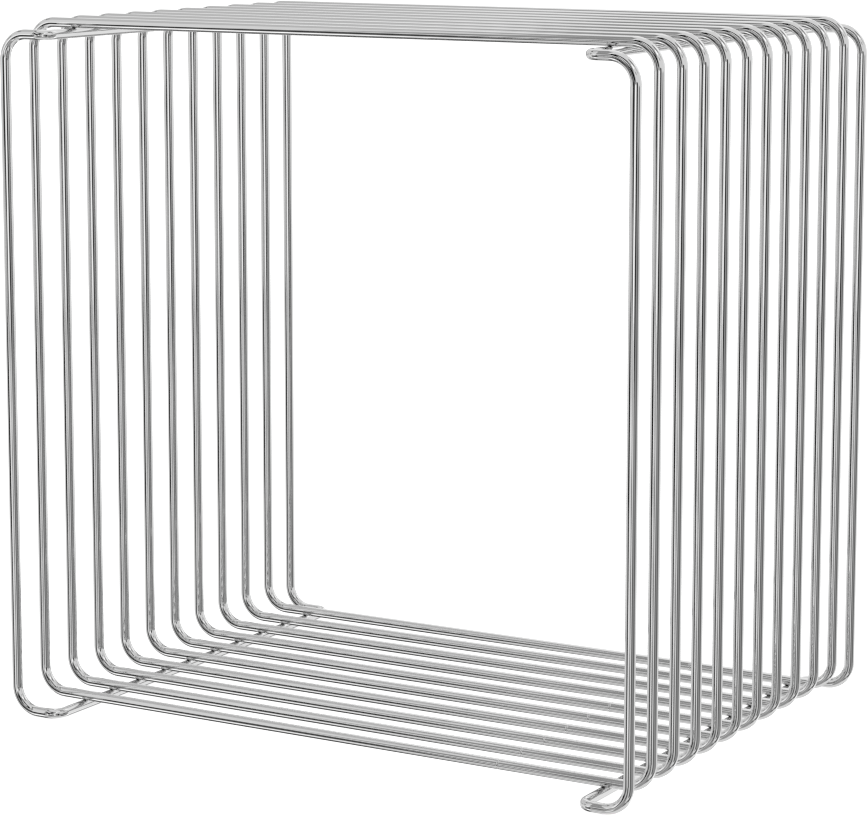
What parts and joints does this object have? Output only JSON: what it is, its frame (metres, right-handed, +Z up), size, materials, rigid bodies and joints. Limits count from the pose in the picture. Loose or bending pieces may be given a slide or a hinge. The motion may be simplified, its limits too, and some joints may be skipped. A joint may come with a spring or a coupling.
{
  "type": "magazine rack",
  "caption": "Open cube of parallel chrome-plated wire loops tied by two bent side frames, standing on two rails, that holds magazines upright or flat.",
  "frame": {"origin": "middle of the footprint, on the surface that the two bottom rails stand on", "axes": "+X to the right as seen from the open front, which faces -Y; +Z up. The rails run along Y and the loops lie parallel to the XZ plane"},
  "size_m": [0.348, 0.2566, 0.348],
  "materials": {
    "chrome_wire": "bright chrome plating on round steel wire",
    "chrome_weld": "chrome plating over a resistance weld, darker and duller than the wire"
  },
  "bodies": {
    "root": {"wire_loop_01": "chrome_wire", "wire_loop_02": "chrome_wire", "wire_loop_03": "chrome_wire", "wire_loop_04": "chrome_wire", "wire_loop_05": "chrome_wire", "wire_loop_06": "chrome_wire", "wire_loop_07": "chrome_wire", "wire_loop_08": "chrome_wire", "wire_loop_09": "chrome_wire", "wire_loop_10": "chrome_wire", "side_frame_left": "chrome_wire", "side_frame_right": "chrome_wire", "welds_bottom_left": "chrome_weld", "welds_bottom_right": "chrome_weld", "welds_top_left": "chrome_weld", "welds_top_right": "chrome_weld"}
  },
  "joints": []
}
